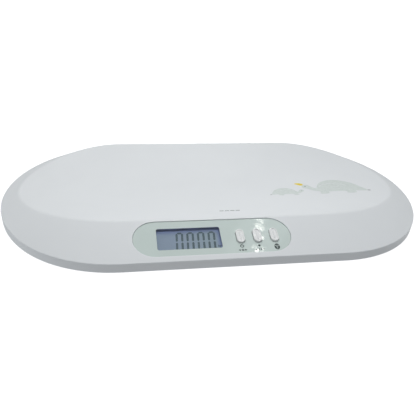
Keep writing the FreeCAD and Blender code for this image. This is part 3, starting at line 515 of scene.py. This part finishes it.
def printed(name, loops, place, up, material, body=HOUSING, thick=0.06, sunk=0.04, spacing=None):
    """Thin closed layer that fills 2-D loops in millimetres, laid on a surface by place(x, y)."""
    flat, faces = filled(loops, spacing)
    used = sorted({i for f in faces for i in f})
    index = {old: new for new, old in enumerate(used)}
    faces = [[index[i] for i in f] for f in faces]
    spots = [place(flat[i].x, flat[i].y) for i in used]
    n = len(spots)
    vertices = [p + up * (thick * MM) for p in spots] + [p - up * (sunk * MM) for p in spots]
    solid = list(faces) + [[i + n for i in reversed(f)] for f in faces]
    directed = {(f[k], f[(k + 1) % len(f)]) for f in faces for k in range(len(f))}
    solid += [[b, a, a + n, b + n] for a, b in directed if (b, a) not in directed]
    mesh = bpy.data.meshes.new(name)
    mesh.from_pydata(vertices, [], solid)
    mesh.validate()
    mesh.update()
    mesh.materials.append(material)
    piece = bpy.data.objects.new(name, mesh)
    bpy.context.scene.collection.objects.link(piece)
    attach(piece, body)
    return piece


def ink(name, colour, roughness=0.45):
    recipe = Recipe(name, roughness, IOR=1.45)
    recipe.mottle(colour, 0.05, 260)
    recipe.bump(recipe.noise(1800, 2), 0.008)
    return recipe.material


def slanted(points, lean, foot):
    """Shears points so that they lean right with height above foot."""
    return [(x + (y - foot) * tan(radians(lean)), y) for x, y in points]


def segment(x0, y0, x1, y1, half):
    """Six-sided bar with pointed ends between two points, upright or level."""
    if x0 == x1:
        return [(x0, y0), (x0 + half, y0 + half), (x0 + half, y1 - half),
                (x0, y1), (x0 - half, y1 - half), (x0 - half, y0 + half)]
    return [(x0, y0), (x0 + half, y0 - half), (x1 - half, y0 - half),
            (x1, y0), (x1 - half, y0 + half), (x0 + half, y0 + half)]


DIGIT_MIDDLES, DIGIT_FOOT, DIGIT_HEIGHT, DIGIT_WIDTH = (-64.9, -52.3, -39.7, -27.1), 16.5, 28.8, 8.9
STROKE, LEAN = 2.55, 3.3
UNIT_X, UNIT_FOOT, UNIT_SIZE = -18.2, 21.5, 4.4


def zero_segments(x):
    """The six lit segments of a 0 whose foot is centred on x."""
    half, gap, waist = STROKE / 2, 0.22, 0.5
    left, right = x - DIGIT_WIDTH / 2 + half, x + DIGIT_WIDTH / 2 - half
    low, high = DIGIT_FOOT + half, DIGIT_FOOT + DIGIT_HEIGHT - half
    centre = (low + high) / 2
    bars = [segment(left + gap, y, right - gap, y, half) for y in (low, high)]
    bars += [segment(side, bottom, side, top, half) for side in (left, right)
             for bottom, top in ((low + gap, centre - waist), (centre + waist, high - gap))]
    return [slanted(b, LEAN, DIGIT_FOOT) for b in bars]


def lettering(text, x, y, size, place_matrix, name, material):
    """Generic unit mark set in the plain built-in face, turned into a thin solid."""
    curve = bpy.data.curves.new(name, "FONT")
    curve.body, curve.size, curve.extrude, curve.offset = text, size * MM, 0.02 * MM, 0.15 * MM
    curve.align_x = "CENTER"
    maker = bpy.data.objects.new(name + "_maker", curve)
    mesh = bpy.data.meshes.new_from_object(maker)
    bpy.data.objects.remove(maker)
    mesh.transform(place_matrix @ Matrix.Translation((x * MM, y * MM, 0)))
    mesh.materials.clear()
    mesh.materials.append(material)
    piece = bpy.data.objects.new(name, mesh)
    bpy.context.scene.collection.objects.link(piece)
    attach(piece, HOUSING)
    return piece


def add_display():
    dark = ink("lcd_segment_ink", (0.052, 0.085, 0.100), 0.6)
    for number, x in enumerate(DIGIT_MIDDLES, 1):
        printed(f"lcd_digit_{number}", zero_segments(x), lambda px, py: deck(px, py, LCD_TOP_H), OUT,
                dark, thick=0.03, sunk=0.02)
    on_lcd = Matrix((ACROSS, UPHILL, OUT)).transposed().to_4x4()
    on_lcd.translation = deck(0, 0, LCD_TOP_H)
    lettering("kg", UNIT_X, UNIT_FOOT, UNIT_SIZE, on_lcd, "lcd_unit", dark)


ICON_SHIFT = -0.3                            # of the marks from the middles of their keys
POWER_S, ZERO_S, DOT_S, HOLD_S = 18.3, 12.4, 17.9, 12.4
BADGE_X, BADGE_S, ARC_S = 0.4, 15.2, 13.0    # radio badge, and the foot its arcs spread from
ARROW = ((4.9, 0.5), (3.6, 0.5), (3.6, 1.4), (2.0, 0.0), (3.6, -1.4), (3.6, -0.5), (4.9, -0.5))


def add_icons():
    """Bold generic marks under the keys: power ring, zero between arrows, hold bars, radio badge."""
    dark = ink("icon_ink", (0.030, 0.045, 0.044))
    x1, x2, x3 = (middle("button_" + key).x / MM + ICON_SHIFT for key in ("power_tare", "hold", "wireless"))
    power = [band(x1, POWER_S, 1.45, 2.35, 122, 418), bar(x1 - 0.42, POWER_S + 0.1, x1 + 0.42, POWER_S + 2.9)]
    zero = [ring(x1, ZERO_S, 1.5), ring(x1, ZERO_S, 0.7)]
    zero += [[(x1 + side * across, ZERO_S + up) for across, up in ARROW] for side in (-1, 1)]
    hold = [ring(x2, DOT_S, 1.35)]
    for offset, half_width, half_height in ((1.3, 0.5, 1.4), (4.6, 0.8, 0.5)):
        for x in (x2 - offset, x2 + offset):
            hold.append(bar(x - half_width, HOLD_S - half_height, x + half_width, HOLD_S + half_height))
    x3 += BADGE_X
    badge = [ellipse(x3, BADGE_S, 3.2, 4.3)]
    badge += [band(x3, ARC_S, r, r + 0.8, 48, 132, 10) for r in (1.6, 3.6)]
    badge.append(ring(x3, ARC_S, 0.75, steps=14))

    def on_panel(x, s):
        return deck(x, s, PANEL_TOP_H)

    icons = (("icon_power", power), ("icon_zero", zero), ("icon_hold", hold), ("icon_wireless", badge))
    for name, loops in icons:
        printed(name, loops, on_panel, OUT, dark, thick=0.03, sunk=0.03)


# ---- picture in the dish: two plain tortoises and a leaf, in millimetres of the row frame ---------
def tortoise(length, facing, x, y):
    """One tortoise side on: outline of shell and body, eye, tail tip and the arcs on its shell."""
    body = [(-0.50, 0.07), (-0.44, 0.20), (-0.34, 0.35), (-0.16, 0.455), (0.04, 0.46), (0.20, 0.36),
            (0.285, 0.21), (0.34, 0.235), (0.385, 0.315), (0.455, 0.335), (0.50, 0.28), (0.485, 0.215),
            (0.42, 0.18), (0.36, 0.115), (0.27, 0.075), (0.285, 0.0), (0.15, 0.0), (0.125, 0.065),
            (-0.13, 0.065), (-0.155, 0.0), (-0.29, 0.0), (-0.305, 0.07), (-0.42, 0.06)]

    def put(points):
        return [(x + facing * px * length, y + py * length) for px, py in points]

    eye = put(ellipse(0.445, 0.272, 0.011, 0.012, steps=12))
    tail = put(ellipse(-0.520, 0.062, 0.028, 0.010, 12, steps=12))
    plates = [put(band(0.0, 0.05, 0.300, 0.312, start, start + 26, 8)) for start in (42, 77, 112)]
    return put(smooth(body, 5)), eye, tail, plates


# size, length, side it faces and middle of its foot line
TORTOISES = (("large", 93.0, -1, 174.0, -28.0), ("small", 50.0, 1, 101.0, -29.0))
LEAF = ((119.2, 7.2), (122.8, 8.6), (127.6, 8.4), (131.6, 4.4), (127.4, 0.9), (123.4, 3.4))
DASH_XS, DASH_LENGTH, DASH_FRONT, DASH_BACK = (-7.8, -0.9, 6.0, 12.9), 5.6, -77.2, -75.6


def add_tray_prints():
    tray = frame["nodes"]["tray"]
    tree = BVHTree.FromPolygons([v.co for v in tray.data.vertices], [p.vertices for p in tray.data.polygons])
    up, above = Vector((0, 0, 1)), 0.2

    def on_dish(x, y):
        return tree.ray_cast(Vector((x * MM, y * MM, above)), -up)[0]

    pale = ink("pale_print_ink", (0.675, 0.722, 0.695), 0.5)
    dark = ink("dark_print_ink", (0.16, 0.165, 0.165), 0.5)
    yellow = ink("yellow_print_ink", (0.84, 0.67, 0.065), 0.5)
    for name, length, facing, x, y in TORTOISES:
        body, eye, tail, plates = tortoise(length, facing, x, y)
        printed(f"print_tortoise_{name}", [body, eye] + plates, on_dish, up, pale, spacing=4.0)
        printed(f"print_tortoise_{name}_marks", [eye, tail], on_dish, up, dark)
    printed("print_leaf", [smooth(LEAF)], on_dish, up, yellow, spacing=3.0)
    dashes = [bar(x, DASH_FRONT, x + DASH_LENGTH, DASH_BACK, 0.6) for x in DASH_XS]
    grey = ink("grey_print_ink", (0.20, 0.205, 0.21), 0.5)
    printed("print_maker_bar", dashes, on_dish, up, grey, spacing=2.0)


bpy.context.scene.view_settings.view_transform = "Standard"
view = add_camera()
add_world()
add_lights()
add_window_blind(view)
add_floor()
dress_nodes()
add_display()
add_icons()
add_tray_prints()
